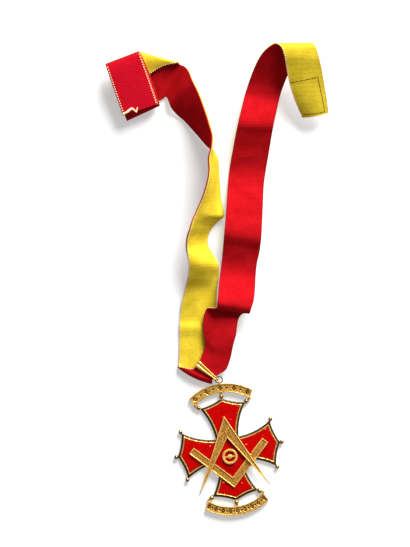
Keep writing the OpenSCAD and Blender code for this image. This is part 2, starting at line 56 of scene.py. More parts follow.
# The ribbon from its end with the hook tape to its end with the loop tape, one row per
# cross-section, in millimetres from RIBBON_AT: x, y, z of selvedge one, x, y, z of selvedge two,
# and how far the middle bows towards the yellow face.
RIBBON_AT = np.array([-6.4, 91.5, 0.0])
RIBBON_WIDTH = 20.0
RIBBON = [
    # End panel with the hook tape, yellow face up
    (-32.0, 95.0, 6.2, -50.8, 88.9, 6.3, 0.0),
    (-36.8, 108.9, 7.8, -55.4, 102.4, 7.8, 0.3),
    (-41.4, 122.0, 8.9, -59.8, 115.0, 8.7, 0.0),
    # Turned under at the top of the panel
    (-41.7, 123.0, 7.6, -60.1, 115.9, 7.4, 0.0),
    (-40.7, 121.1, 6.2, -59.3, 114.1, 6.0, 0.0),
    # Second layer, back down under the panel to the lower lip
    (-35.8, 109.4, 5.6, -54.3, 102.2, 5.4, 0.0),
    (-31.4, 96.0, 4.9, -49.4, 88.2, 4.8, 0.0),
    (-31.2, 94.4, 3.8, -48.7, 86.3, 3.7, 0.0),
    (-32.0, 96.2, 2.7, -49.5, 88.4, 2.5, 0.0),
    # Third layer, up again, its right side opening out past the panel
    (-37.6, 102.8, 2.9, -55.6, 105.6, 2.5, 0.0),
    (-37.5, 109.4, 3.2, -53.2, 115.6, 2.8, 0.2),
    (-33.4, 113.2, 4.1, -49.2, 118.6, 3.0, 0.3),
    (-27.0, 116.2, 6.5, -44.2, 121.2, 3.3, 0.2),
    # Rolled over at the top, red face up from here on
    (-21.6, 116.9, 8.2, -41.2, 122.4, 2.9, 0.0),
    (-20.8, 116.8, 6.8, -40.2, 119.2, 1.2, 0.0),
    (-20.5, 116.5, 5.2, -36.8, 104.0, 0.8, 0.0),
    (-20.1, 116.2, 4.2, -31.6, 97.0, 0.7, 0.0),
    # Valley where the left strand bends
    (-19.5, 115.9, 4.0, -28.2, 98.8, 0.7, 0.0),
    (-18.5, 115.5, 4.9, -27.4, 98.9, 1.2, 0.0),
    (-16.9, 114.5, 7.6, -26.4, 98.0, 2.4, 0.0),
    (-15.2, 112.2, 9.4, -25.5, 95.8, 3.2, 0.0),
    # Left strand, its right side raised more and more up to the twist
    (-13.2, 107.8, 10.6, -24.4, 93.0, 2.6, 0.0),
    (-10.0, 100.6, 13.2, -21.6, 89.6, 1.2, 0.0),
    (-6.8, 91.8, 16.2, -17.4, 86.1, 0.7, 0.0),
    (-4.0, 83.0, 18.6, -10.8, 79.0, 0.7, 0.0),
    (-2.6, 76.6, 19.6, -5.4, 72.8, 0.7, 0.0),
    # Twist, and yellow face up below it, the left side standing high
    (-3.1, 71.0, 20.0, -2.2, 69.8, 0.7, 0.0),
    (-4.4, 65.6, 19.6, 0.0, 65.6, 0.7, 0.0),
    (-4.2, 58.2, 19.3, 0.7, 58.2, 0.7, 0.0),
    (-5.6, 50.8, 19.0, 1.2, 51.2, 0.7, 0.0),
    (-8.0, 43.6, 17.6, 1.9, 43.8, 0.8, 0.0),
    # Wave in the strand, where its low side comes to a point, swings left and back
    (-10.5, 38.0, 16.6, 3.1, 37.4, 1.6, 0.1),
    (-11.6, 35.4, 16.2, 3.5, 34.6, 2.4, -0.3),
    (-12.8, 32.8, 16.2, 1.2, 32.6, 1.7, -0.4),
    (-14.4, 28.6, 15.8, -3.2, 28.6, 0.8, -0.6),
    (-15.8, 23.6, 14.6, -5.2, 23.4, 0.7, -0.8),
    (-16.4, 18.2, 13.0, -4.8, 18.0, 0.7, -0.6),
    (-15.9, 13.8, 12.4, -2.0, 12.8, 2.2, 0.6),
    (-15.2, 9.6, 11.2, 0.5, 8.8, 4.4, 1.0),
    (-15.5, 2.6, 7.6, 0.7, 1.6, 2.2, 0.5),
    (-17.2, -5.0, 3.2, 0.0, -5.0, 1.0, 0.0),
    (-19.4, -14.0, 1.4, -0.4, -15.0, 0.75, 0.0),
    # Lower part of the strand, flat on the surface
    (-20.1, -21.8, 0.8, -0.4, -22.0, 0.7, 0.0),
    (-20.2, -25.4, 1.8, -0.4, -26.0, 0.9, 0.0),
    (-20.3, -31.0, 0.8, -0.45, -31.8, 0.7, 0.0),
    (-20.4, -36.0, 0.7, -0.6, -38.4, 0.7, 0.0),
    (-20.6, -42.6, 0.7, -2.1, -50.6, 0.7, 0.0),
    (-20.7, -45.0, 0.8, -2.6, -53.6, 0.8, 0.0),
    # Slanting fold at the bottom, and the flap that runs up through the bail
    (-20.9, -46.8, 1.9, -2.8, -55.6, 1.8, -1.3),
    (-19.4, -47.1, 3.0, -2.7, -54.5, 2.9, -0.8),
    (-16.4, -47.8, 3.2, -2.4, -53.8, 3.2, 0.0),
    (-13.4, -48.2, 3.3, -2.1, -53.1, 3.3, 0.0),
    (-11.0, -46.8, 3.3, -1.1, -52.2, 3.3, 0.0),
    (-9.6, -44.6, 3.2, 1.2, -50.6, 3.1, -0.4),
    (-8.4, -41.8, 2.9, 4.6, -48.2, 2.4, -1.2),
    (-7.3, -38.8, 2.7, 6.9, -42.6, 3.4, -1.2),
    (-6.2, -34.4, 3.0, 8.6, -34.8, 5.4, -1.2),
    (-6.9, -29.6, 3.4, 10.2, -29.2, 6.2, -0.8),
    (-7.5, -22.2, 3.3, 11.2, -22.0, 5.6, 0.0),
    # Tuck across the right strand, its upper part lapping over
    (-6.6, -18.0, 3.4, 12.4, -19.4, 5.4, 0.0),
    (-5.4, -15.4, 4.2, 14.4, -17.6, 5.8, 0.0),
    (-3.2, -15.2, 6.2, 16.2, -17.4, 7.2, 0.0),
    (-0.2, -15.0, 9.0, 17.6, -17.4, 9.2, 0.0),
    (0.1, -12.6, 10.6, 18.4, -15.0, 10.4, 0.0),
    (0.5, -9.6, 9.8, 19.6, -11.4, 9.4, 0.0),
    # Right strand, red face up, in long low waves
    (0.9, -4.0, 6.4, 20.4, -4.6, 5.4, 0.0),
    (1.9, 4.4, 3.2, 20.7, 1.6, 2.2, 0.0),
    (2.7, 11.0, 3.0, 21.4, 8.8, 2.6, 0.0),
    (3.4, 18.6, 5.6, 22.8, 15.2, 4.2, 0.0),
    (4.0, 25.6, 8.8, 23.7, 22.4, 7.2, 0.0),
    (4.9, 36.4, 6.6, 24.4, 35.2, 5.2, 0.0),
    (5.9, 51.0, 2.0, 25.2, 51.4, 1.2, 0.0),
    (6.8, 60.0, 0.9, 26.3, 59.4, 0.8, 0.0),
    (8.6, 70.4, 3.8, 28.0, 69.6, 3.6, 0.0),
    (10.4, 80.0, 7.6, 29.6, 79.6, 7.4, 0.0),
    (11.6, 85.6, 9.4, 30.7, 85.4, 9.2, 0.0),
    (13.2, 92.0, 7.4, 32.2, 92.0, 7.4, 0.0),
    (15.6, 101.6, 3.2, 34.4, 101.0, 3.0, 0.0),
    # Big open curl at the end, back over itself, yellow face up
    (18.8, 111.0, 6.2, 37.2, 108.6, 4.6, 0.0),
    (22.8, 119.6, 11.2, 41.0, 116.6, 8.8, 0.0),
    (27.0, 124.6, 14.6, 45.8, 122.8, 12.6, 0.0),
    (31.4, 126.8, 17.0, 50.8, 127.0, 15.8, 0.0),
    (34.4, 125.0, 18.4, 52.8, 125.4, 17.4, 0.0),
    (36.2, 120.4, 17.8, 54.4, 120.8, 17.0, 0.3),
    (37.3, 114.4, 15.4, 56.1, 114.2, 14.8, 0.4),
    (38.9, 106.2, 12.4, 57.6, 105.8, 12.0, 0.6),
    (42.0, 97.0, 9.0, 59.0, 97.4, 9.2, 1.2),
    (46.2, 87.8, 5.0, 59.9, 90.2, 6.4, 1.8),
]
# The closure tapes lie between these rows of the table
HOOK_ROWS = (0, 2)
LOOP_ROWS = (len(RIBBON) - 4, len(RIBBON) - 1)
# Gap between the ribbon and a tape, and a tape's pale selvedge: half the tape's width in metres,
# where the selvedge starts as a share of that, how sharply, and how pale it is
TAPE_GAP = 0.05
HALF_TAPE, PALE_FROM, PALE_SHARP, PALE = 0.0098, 0.95, 40, 0.4

# Soft wrinkles, one row each: place as a row number of the table above and across (-1 to 1), half
# length along the ribbon and half width across it in mm, slant (mm along per mm across), and
# height in mm, which is above 0 towards the yellow face
WRINKLES = [
    (20.9, 0.1, 3.4, 12.0, 0.1, -1.00),
    (23.6, 0.4, 3.0, 6.0, 0.5, -0.30),
    (34.2, 0.0, 3.5, 14.0, 0.0, 0.60),
    (40.6, 0.5, 3.2, 7.0, 0.6, 0.28),
    (44.0, -0.6, 2.6, 5.0, -0.7, 0.22),
    (58.2, -0.3, 4.5, 8.0, 0.1, -0.80),
    (56.0, 0.6, 2.6, 5.0, 0.4, -0.30),
    (67.3, 0.5, 3.0, 6.0, -0.5, -0.25),
    (70.6, -0.5, 3.4, 6.0, 0.4, -0.25),
    (72.6, 0.3, 3.2, 7.0, -0.3, -0.28),
    (74.5, 0.0, 3.0, 14.0, 0.05, -0.60),
    (77.1, 0.0, 3.0, 14.0, 0.05, -0.55),
]

# Loose thread, from RIBBON_AT: x, y, z and its radius, in mm
LOOSE_THREAD = np.array([
    (-50.6, 89.2, 8.0, 0.62), (-48.4, 90.4, 9.2, 0.585), (-46.0, 92.4, 9.0, 0.55),
    (-44.6, 91.6, 9.4, 0.3), (-43.4, 90.2, 9.2, 0.26), (-42.9, 93.2, 9.0, 0.22)])

# Relief tables, one ring per pair: how far in from the outline, and the height above the back
PLATE_RELIEF = ((0.30, 0.0), (0.0, 0.25), (0.0, 1.20), (0.15, 1.42), (0.60, 1.58), (1.06, 1.66),
                (1.12, 2.15), (1.20, 2.34), (1.34, 2.42), (1.50, 2.42), (1.62, 2.34),
                (1.68, 2.20), (1.70, 1.40))
ENAMEL_RELIEF = ((1.74, 1.45), (1.74, 2.05), (1.84, 2.18), (2.05, 2.27), (2.5, 2.31), (2.9, 2.31))
BANNER_RELIEF = ((0.2, 0.0), (0.0, 0.2), (0.0, 2.05), (0.08, 2.28), (0.22, 2.4), (0.4, 2.4),
                 (0.54, 2.28), (0.62, 2.05), (0.64, 1.5))
SQUARE_RELIEF = ((0.1, 2.45), (0.0, 2.55), (0.0, 2.95), (0.1, 3.1), (0.25, 3.15), (0.42, 3.15),
                 (0.56, 3.05), (0.66, 2.78))
COMPASS_RELIEF = ((0.05, 3.2), (0.0, 3.25), (0.0, 3.75), (0.1, 3.93), (0.25, 4.0), (0.42, 4.0),
                  (0.56, 3.9), (0.66, 3.6))
# Their rings, counted from 0, that carry the mark for darker ground colours: the side of the
# plate, where these colours are painted shade, and the sunken ground of the square and the
# compasses
SHADED_PLATE_SIDE, GROUND = range(6), (7,)

# Profiles turned about an upright axis, as radius and height. Those that reach the axis stop at
# NEAR_AXIS and are closed there.
NEAR_AXIS = 0.01
WHEEL_PROFILE = ((2.9, 2.46), (4.1, 2.46), (4.2, 2.56), (4.2, 3.15), (4.05, 3.38), (3.8, 3.45),
                 (3.3, 3.45), (3.02, 3.38), (2.88, 3.15), (2.84, 2.56))
PELLET_PROFILE = ((NEAR_AXIS, 2.46), (1.25, 2.46), (1.25, 3.05), (1.1, 3.25), (0.7, 3.36),
                  (NEAR_AXIS, 3.38))

# Middle of the small ring along the arm, and the bar across it: start, end, width and heights
EMBLEM_Y = -3.8
ANNULET_BAR = ((-3.1, EMBLEM_Y), (3.1, EMBLEM_Y), 0.9, 2.46, 3.05)

# The round field under the emblem and its back, turned likewise: how far beyond the field's
# radius, and height
BACK_PROFILE = ((0.8, 0.01), (0.9, 0.1), (0.9, 1.4))
FIELD_PROFILE = ((0.0, 1.5), (0.0, 2.4), (-0.1, 2.44))

# How far the balls stand off an arm's corner and point, and off the surface
CORNER_OUT, POINT_OUT, BALL_LIFT = (0.6, 0.5), (0.0, 0.9), 0.1

# Bars that join the banners to the arms, from an arm's point and corner: start, end, width, and
# the height of both
POINT_BAR = ((0.0, -0.8), (0.0, 3.6), 1.5)
CORNER_BAR = ((-0.4, -0.6), (2.99, 2.05), 1.4)
BAR_HEIGHTS = (0.3, 1.8)

# Ground of the banners: how far its edge lies inside the rim's outline, its underside, its
# surface, and how deep the marks are cut. The marks take up FILL of the banner's angle, and
# END_COSINE, about that of its half angle, gives where the end lines cut the outer arc.
GROUND_EDGE, GROUND_LOW, GROUND_TOP, MARK_DEPTH = 0.6, 1.3, 1.95, 0.35
FILL, END_COSINE = 0.985, 0.86

# The marks' half sizes along and across: a lozenge's, whose first is PITCH_SHARE of the pitch at
# most; those of the smaller one left out of it, the first as a share of the lozenge's; and a
# pellet's radius. Then how sharply the edges of both kinds are cut.
LOZENGE, PITCH_SHARE, LEFT_OUT, PELLET_R = (1.4, 1.65), 0.62, (0.4, 0.6), 0.62
LOZENGE_SHARP, PELLET_SHARP = 4, 2.2

# Small rings as radius and wire; how far the eyelet's middle is to the right, beyond the banner's
# outer edge and up; and how the link ring leans and the bail lies
EYELET, LINK_RING, LINK_LEAN = (0.85, 0.35), (1.9, 0.32), math.radians(25)
EYELET_AT = (0.1, 0.5, 1.9)
BAIL_TURN, BAIL_AT = math.radians(-38.5), (-17.7, 46.9, 0.0)

# The bail's section, across as shares of its half width: middle and half size of each rib, half
# size of the groove between them, darkened with painted shade, and the edge of the inner face.
# Then the level of the groove as a share of half the thickness, and how strongly painted shade
# darkens the inner face.
RIB_AT, RIB_HALF, SHADED_GROOVE_HALF, INNER_EDGE = 0.54, 0.46, 0.12, 0.96
GROOVE_LEVEL, INNER_SHADE = -0.1, 0.7

# Rows of edge stitches: thread, place across, height off the middle surface, first stitch in
# pitches, and half sizes along, across and up. Then how far from the ends they stop; the seams of
# the hook tape, with where they start and how high they lie over the thickness of ribbon and
# tape; the row at its fold; and the corners of the stitched box, as the distance from the end and
# the place across.
EDGE_ROWS = (("cream", 0.97, 0.40, 0.0, (0.42, 0.46, 0.36)),
             ("red", 0.97, -0.40, 0.5, (0.46, 0.46, 0.34)),
             ("red", 0.955, 0.42, 0.5, (0.26, 0.42, 0.32)))
EDGE_STOP = 0.5
SEAM_ACROSS, SEAM_START, SEAM_LIFT, SEAM_SIZE = 0.93, 0.4, 0.1, (0.42, 0.26, 0.14)
FOLD_AFTER, FOLD_ACROSS, FOLD_PITCH, FOLD_SIZE = 0.8, 0.96, 0.8, (0.44, 0.75, 0.4)
BOX_CORNERS = ((19.0, 0.95), (22.5, -0.70), (1.6, -0.74), (1.8, 0.90))
BOX_PITCH, BOX_SIZE = 1.45, (0.68, 0.27, 0.16)


# Shapes
def unit(vectors):
    """The vectors (..., n) at length 1."""
    return vectors / np.linalg.norm(vectors, axis=-1, keepdims=True)


def round_about(count):
    """That many angles, evenly round a circle."""
    return np.linspace(0, 2 * math.pi, count, endpoint=False)


def shape(points, faces, **marks):
    """A part of a mesh: points (n, 3) in mm, faces as lists, and per-point marks."""
    points = np.asarray(points, float)
    values = {key: np.asarray(m, float) for key, m in marks.items()}
    return {"points": points, "faces": [list(map(int, f)) for f in faces], "marks": values}


def joined(shapes):
    """All shapes as one."""
    points, faces, start = [], [], 0
    keys = sorted({key for s in shapes for key in s["marks"]})
    marks = {key: [] for key in keys}
    for s in shapes:
        points.append(s["points"])
        faces.extend([[i + start for i in f] for f in s["faces"]])
        for key in keys:
            marks[key].append(s["marks"].get(key, np.zeros(len(s["points"]))))
        start += len(s["points"])
    return {"points": np.concatenate(points), "faces": faces,
            "marks": {key: np.concatenate(m) for key, m in marks.items()}}


def volume(s):
    """Signed volume: the sum over fans of each face of a . (b x c) / 6."""
    tris = [(f[0], f[k], f[k + 1]) for f in s["faces"] for k in range(1, len(f) - 1)]
    a, b, c = (s["points"][[t[k] for t in tris]] for k in range(3))
    return float((a * np.cross(b, c)).sum() / 6.0)


def outward(s):
    """The closed shape with its faces looking out."""
    if volume(s) < 0:
        s = dict(s, faces=[f[::-1] for f in s["faces"]])
    return s


def ring_quads(rings, count):
    """Quads between neighbouring closed rings of count points each."""
    i = np.arange(rings - 1)[:, None] * count
    j = np.arange(count)[None, :]
    k = (j + 1) % count
    return np.stack([i + j, i + k, i + count + k, i + count + j], -1).reshape(-1, 4).tolist()


def tube(rings, marks=None, capped=True):
    """A closed shape through rings (r, n, 3): quads between them and a face on each end."""
    r, n = rings.shape[:2]
    faces = ring_quads(r, n)
    if capped:
        faces += [list(range(n))[::-1], list(range((r - 1) * n, r * n))]
    else:
        last = (r - 1) * n
        faces += [[last + j, last + (j + 1) % n, (j + 1) % n, j] for j in range(n)]
    return outward(shape(rings.reshape(-1, 3), faces, **(marks or {})))


def level(plan, z):
    """Points of a plan (n, 2), all at the height z."""
    return np.column_stack([plan, np.full(len(plan), z)])


def relief(outline, rows, sunk_and_shaded=()):
    """A closed slab with a moulded edge: outline(inset) gives (n, 2) points, and each row of
    (inset, height) is one ring of them. The rings numbered in the last argument carry the mark for
    darker ground colours, used for sunk grounds and for painted shade."""
    rings = np.array([level(outline(inset), z) for inset, z in rows])
    recess = np.repeat([float(k in sunk_and_shaded) for k in range(len(rows))], rings.shape[1])
    return tube(rings, {"recess": recess})


def ball(centre, r, sides=24, rings=14):
    """Sphere: centre + r (sin a cos b, sin a sin b, cos a), a pole point at each end."""
    a = np.linspace(0, math.pi, rings + 1)[1:-1]
    b = round_about(sides)
    p = np.stack([np.sin(a)[:, None] * np.cos(b), np.sin(a)[:, None] * np.sin(b),
                  np.repeat(np.cos(a)[:, None], sides, 1)], -1).reshape(-1, 3)
    p = np.concatenate([p, [[0, 0, 1.0]], [[0, 0, -1.0]]]) * r + np.asarray(centre)
    faces = ring_quads(rings - 1, sides)
    top, base, last = len(p) - 2, len(p) - 1, (rings - 2) * sides
    faces += [[top, (j + 1) % sides, j] for j in range(sides)]
    faces += [[base, last + j, last + (j + 1) % sides] for j in range(sides)]
    return outward(shape(p, faces))


def torus(centre, across, up, r, wire, sides=48, around=14):
    """Ring in the plane of the unit vectors across and up: c + (r + w cos b) e(a) + w sin b n."""
    across, up = np.asarray(across, float), np.asarray(up, float)
    n = np.cross(across, up)
    a, b = round_about(sides)[:, None], round_about(around)[None, :]
    e = np.cos(a)[..., None] * across + np.sin(a)[..., None] * up
    p = (np.asarray(centre) + (r + wire * np.cos(b))[..., None] * e
         + (wire * np.sin(b))[..., None] * n)
    return tube(p, capped=False)


def lathe(centre, profile, sides=72, capped=True):
    """Profile of (radius, height) turned about the upright axis through centre, as the rings
    (r cos b, r sin b, z). Uncapped, its last ring joins its first."""
    b = round_about(sides)
    circle = np.column_stack([np.cos(b), np.sin(b)])
    rings = np.array([level(r * circle, z) for r, z in profile])
    return tube(rings + np.asarray(centre), capped=capped)


def box_bar(start, end, width, low, high):
    """Straight bar between two points in plan, half the width to each side of their line."""
    start, end = np.asarray(start, float), np.asarray(end, float)
    d = unit(end - start)
    w = np.array([-d[1], d[0]]) * width / 2
    base = np.array([start - w, end - w, end + w, start + w])
    return tube(np.array([level(base, low), level(base, high)]))


def turned(s, angle, shift=(0, 0, 0)):
    """The shape turned about the upright axis through the origin, then moved."""
    c, d = math.cos(angle), math.sin(angle)
    m = np.array([[c, -d, 0], [d, c, 0], [0, 0, 1]])
    return dict(s, points=s["points"] @ m.T + np.asarray(shift))


def add_object(name, s, look, sharp=35, replaces=(), uv=None):
    """Edges of more than sharp degrees stay crisp."""
    mesh = bpy.data.meshes.new(name)
    mesh.from_pydata((s["points"] * MM).tolist(), [], s["faces"])
    for key, values in s["marks"].items():
        layer = mesh.attributes.new(key, "FLOAT", "POINT")
        layer.data.foreach_set("value", values.astype(np.float32))
    if uv is not None:
        corners = np.empty(len(mesh.loops), np.int32)
        mesh.loops.foreach_get("vertex_index", corners)
        layer = mesh.uv_layers.new(name="cloth")
        layer.data.foreach_set("uv", np.asarray(uv, np.float32)[corners].ravel())
    mesh.polygons.foreach_set("use_smooth", np.ones(len(mesh.polygons), bool))
    mesh.set_sharp_from_angle(angle=math.radians(sharp))
    mesh.materials.append(material(look))
    mesh.validate()
    mesh.update()
    obj = bpy.data.objects.new(name, mesh)
    bpy.context.scene.collection.objects.link(obj)
    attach(obj, "root")
    if replaces:
        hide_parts(*replaces)
    return obj


# Outlines of the jewel
def arm_point(s):
    """Point of the upper arm, in mm, before the jewel is turned."""
    return np.array([0.0, s.arm_tip / MM])


def arm_corner(s):
    """Corner of the upper arm on the right, likewise."""
    return np.array([s.arm_corner_x, s.arm_corner_y]) / MM


def eyelet_middle(s):
    """Middle of the eyelet above the upper banner, likewise."""
    right, beyond, up = EYELET_AT
    return np.array([right, s.banner_centre / MM + s.banner_r / MM + beyond, up])


def arc_through(p, q, hollow):
    """Centre and radius of the circle through p and q that bends in by hollow on the right."""
    p, q = np.asarray(p, float), np.asarray(q, float)
    d = q - p
    r = (d @ d / 4 + hollow ** 2) / (2 * hollow)
    return (p + q) / 2 + (r - hollow) * np.array([d[1], -d[0]]) / np.linalg.norm(d), r


def along_arc(centre, p, q, count):
    """count points on the circle about centre from p to q."""
    a = math.atan2(*(p - centre)[::-1])
    b = math.atan2(*(q - centre)[::-1])
    b = a + (b - a + math.pi) % (2 * math.pi) - math.pi
    t = np.linspace(a, b, count)
    r = np.linspace(np.linalg.norm(p - centre), np.linalg.norm(q - centre), count)
    return centre + r[:, None] * np.column_stack([np.cos(t), np.sin(t)])


def cross_outline(settings, inset, count=20):
    """Outline of the cross: per half arm a hollow side arc and a hollow end arc, each circle
    grown by the inset, cut with the diagonal, with each other and with the arm's middle line."""
    waist, corner = np.array([settings.arm_waist] * 2) / MM, arm_corner(settings)
    cs, rs = arc_through(waist, corner, settings.side_hollow / MM)
    ce, re = arc_through(corner, arm_point(settings), settings.end_hollow / MM)
    rs, re = rs + inset, re + inset
    total = cs.sum()
    t = (total - math.sqrt(total ** 2 - 2 * (cs @ cs - rs ** 2))) / 2
    n = np.array([t, t])
    gap = ce - cs
    d = np.linalg.norm(gap)
    along = (d * d + rs * rs - re * re) / (2 * d)
    high = math.sqrt(max(rs * rs - along * along, 0.0))
    foot, side = cs + gap / d * along, np.array([-gap[1], gap[0]]) / d * high
    c = min((foot + side, foot - side), key=lambda p: np.linalg.norm(p - corner))
    top = np.array([0, ce[1] - math.sqrt(re * re - ce[0] ** 2)])
    half = np.concatenate([along_arc(cs, n, c, count), along_arc(ce, c, top, count // 2)[1:]])
    arm = np.concatenate([half, (half * MIRROR)[::-1][1:]])[:-1]
    quarter = np.array([[0, 1], [-1, 0]])
    return np.concatenate([arm @ np.linalg.matrix_power(quarter, k) for k in range(4)])


def banner_outline(settings, inset, count=60, ends=6):
    """Outline of the upper banner: outer arc, left end, inner arc, right end."""
    c = np.array([0, settings.banner_centre / MM])
    half = settings.banner_half
    b = inset / math.sin(half) - c[1]

    def corner(r, side):
        """Where the circle of radius r about c meets an end line that is moved in."""
        t = -b * math.cos(half) + math.sqrt(r * r - (b * math.sin(half)) ** 2)
        return np.array([side * t * math.sin(half), t * math.cos(half) + inset / math.sin(half)])

    big = settings.banner_r / MM - inset
    small = (settings.banner_r - settings.banner_w) / MM + inset
    right, left = corner(big, 1), corner(big, -1)
    low_left, low_right = corner(small, -1), corner(small, 1)
    return np.concatenate([
        along_arc(c, right, left, count)[:-1], np.linspace(left, low_left, ends)[:-1],
        along_arc(c, low_left, low_right, count)[:-1], np.linspace(low_right, right, ends)[:-1]])


def mitred(polygon, inset):
    """Counter-clockwise polygon with every edge moved in: v + (n1 + n2) inset / (1 + n1 . n2)."""
    p = np.asarray(polygon, float)
    d = unit(np.roll(p, -1, 0) - p)
    n = np.column_stack([-d[:, 1], d[:, 0]])
    m = np.roll(n, 1, 0)
    return p + inset * (n + m) / (1 + (n * m).sum(1))[:, None]


# Ribbon
def spline(rows, step):
    """Rows joined by a centripetal Hermite spline, sampled about every step millimetres: on each
    span, the two rows and their slopes weighted by the four cubic Hermite polynomials of s.
    Returns the samples and the sample number of each row."""
    rows = np.asarray(rows, float)
    d = np.diff(rows, axis=0)
    travel = (np.linalg.norm(d[:, :3], axis=1) + np.linalg.norm(d[:, 3:6], axis=1)) / 2
    space = np.sqrt(travel)[:, None]
    pace = d / space
    slope = np.empty_like(rows)
    slope[0], slope[-1] = pace[0], pace[-1]
    slope[1:-1] = (pace[1:] * space[:-1] + pace[:-1] * space[1:]) / (space[:-1] + space[1:])
    out, index = [], [0]
    for i in range(len(d)):
        n = max(3, int(math.ceil(travel[i] / step)))
        s = np.linspace(0, 1, n, endpoint=False)[:, None]
        out.append((2 * s ** 3 - 3 * s ** 2 + 1) * rows[i]
                   + (s ** 3 - 2 * s ** 2 + s) * space[i] * slope[i]
                   + (3 * s ** 2 - 2 * s ** 3) * rows[i + 1]
                   + (s ** 3 - s ** 2) * space[i] * slope[i + 1])
        index.append(index[-1] + n)
    out.append(rows[-1:])
    return np.concatenate(out), index


class Band:
    """The ribbon's middle surface, P(i, v) = middle + v half-width + bow (1 - v^2) normal, with i
    the cross-section and v from -1 at selvedge two to 1 at selvedge one."""

    def __init__(self, step):
        self.rows, self.index = spline(RIBBON, step)
        self.one = self.rows[:, 0:3]
        self.two = self.rows[:, 3:6]
        self.middle = (self.one + self.two) / 2
        ahead = np.gradient(self.middle, axis=0)
        self.normal = unit(np.cross(self.one - self.two, ahead))
        run = np.linalg.norm(np.diff(self.middle, axis=0), axis=1)
        self.length = np.concatenate([[0], np.cumsum(run)])
        self.places = np.interp([w[0] for w in WRINKLES], np.arange(len(self.index)),
                                self.length[np.asarray(self.index)])

    def wrinkled(self, v):
        """Sum over the wrinkles of height exp(-(s / long)^2 - (w / wide)^2), with w the distance
        across from the wrinkle's middle and s the one along, less slant w."""
        total = np.zeros((len(self.length), len(v)))
        for place, (_, across, long, wide, slant, height) in zip(self.places, WRINKLES):
            w = (np.asarray(v) - across)[None, :] * RIBBON_WIDTH / 2
            s = self.length[:, None] - place - slant * w
            total += height * np.exp(-(s / long) ** 2 - (w / wide) ** 2)
        return total[..., None]

    def points(self, v):
        """Points of the middle surface with its wrinkles, (sections, len(v), 3)."""
        rise = self.wrinkled(v)
        v = np.asarray(v, float)[None, :, None]
        return (self.middle[:, None] + v * (self.one - self.two)[:, None] / 2
                + (self.rows[:, None, 6:7] * (1 - v ** 2) + rise) * self.normal[:, None])

    def normals(self, v):
        """Unit normals there, on the yellow side: (step across) x (step along)."""
        v = np.asarray(v, float)
        near = 0.03
        across = self.points(v + near) - self.points(v - near)
        return unit(np.cross(across, np.gradient(self.points(v), axis=0)))

    def strip(self, first, last, share, low, high, cells=24):
        """A closed strip over part of the width, between two distances from the middle surface:
        P(i, v) + offset normal, the offset running round the section and over its rounded edges.
        Returns the shape and its flat coordinates in metres."""
        v = np.linspace(-1, 1, cells + 1) * share
        r, middle = (high - low) / 2, (low + high) / 2
        turn = np.linspace(0, math.pi, 5)[1:-1]
        bulge = 0.04
        edge = share + bulge * r * np.sin(turn)
        vs = np.concatenate([v, edge, v[::-1], -edge[::-1]])
        offset = np.concatenate([np.full(len(v), high), middle + r * np.cos(turn),
                                 np.full(len(v), low), middle - r * np.cos(turn)])
        part = slice(first, last + 1)
        p, n = self.points(vs)[part], self.normals(vs)[part]
        rings = p + offset[None, :, None] * n + RIBBON_AT
        width = np.linalg.norm(self.one - self.two, axis=1)[part, None]
        flat = np.stack([np.repeat(self.length[part, None], len(vs), 1),
                         vs[None, :] * width / 2], -1).reshape(-1, 2) * MM
        return tube(rings), flat


# Materials
def node(tree, kind, **values):
    """A shader node with its properties and inputs set by name, "_" for a space. An input that
    is given a socket is linked to it."""
    n = tree.nodes.new(kind)
    for key, value in values.items():
        if hasattr(n, key):
            setattr(n, key, value)
        elif isinstance(value, bpy.types.NodeSocket):
            tree.links.new(value, n.inputs[key.replace("_", " ")])
        else:
            n.inputs[key.replace("_", " ")].default_value = value
    return n


def new_material(name):
    """An empty node material and its tree."""
    m = bpy.data.materials.new(name)
    m.use_nodes = True
    m.node_tree.nodes.clear()
    return m, m.node_tree


def surface(tree, **values):
    """The material's Principled shader with these inputs."""
    bsdf = node(tree, "ShaderNodeBsdfPrincipled", **values)
    node(tree, "ShaderNodeOutputMaterial", Surface=bsdf.outputs["BSDF"])


def coordinates(tree, source):
    """Object or UV coordinates."""
    return node(tree, "ShaderNodeTexCoord").outputs[source]


def noise(tree, scale, detail=3.0):
    """Noise in object coordinates, in cells per metre."""
    return node(tree, "ShaderNodeTexNoise", Scale=scale, Detail=detail,
                Vector=coordinates(tree, "Object")).outputs["Fac"]


def mark(tree, name):
    """The mark of that name on the mesh, 0 where it has none."""
    return node(tree, "ShaderNodeAttribute", attribute_name=name).outputs["Fac"]


def mixed(tree, factor, a, b):
    """Colour mix; factor is a socket, a and b colours or sockets."""
    m = node(tree, "ShaderNodeMix", data_type="RGBA", Factor=factor)
    for value, socket in ((a, m.inputs[6]), (b, m.inputs[7])):
        if isinstance(value, tuple):
            socket.default_value = (*value, 1)
        else:
            tree.links.new(value, socket)
    return m.outputs[2]


def bump(tree, height, strength, distance):
    """Normal bent by a height socket."""
    return node(tree, "ShaderNodeBump", Strength=strength, Distance=distance,
                Height=height).outputs["Normal"]


def ramp(tree, source, low, high, to_low=0.0, to_high=1.0):
    """The source socket stretched from low..high to to_low..to_high and clamped."""
    return node(tree, "ShaderNodeMapRange", From_Min=low, From_Max=high, To_Min=to_low,
                To_Max=to_high, Value=source).outputs["Result"]


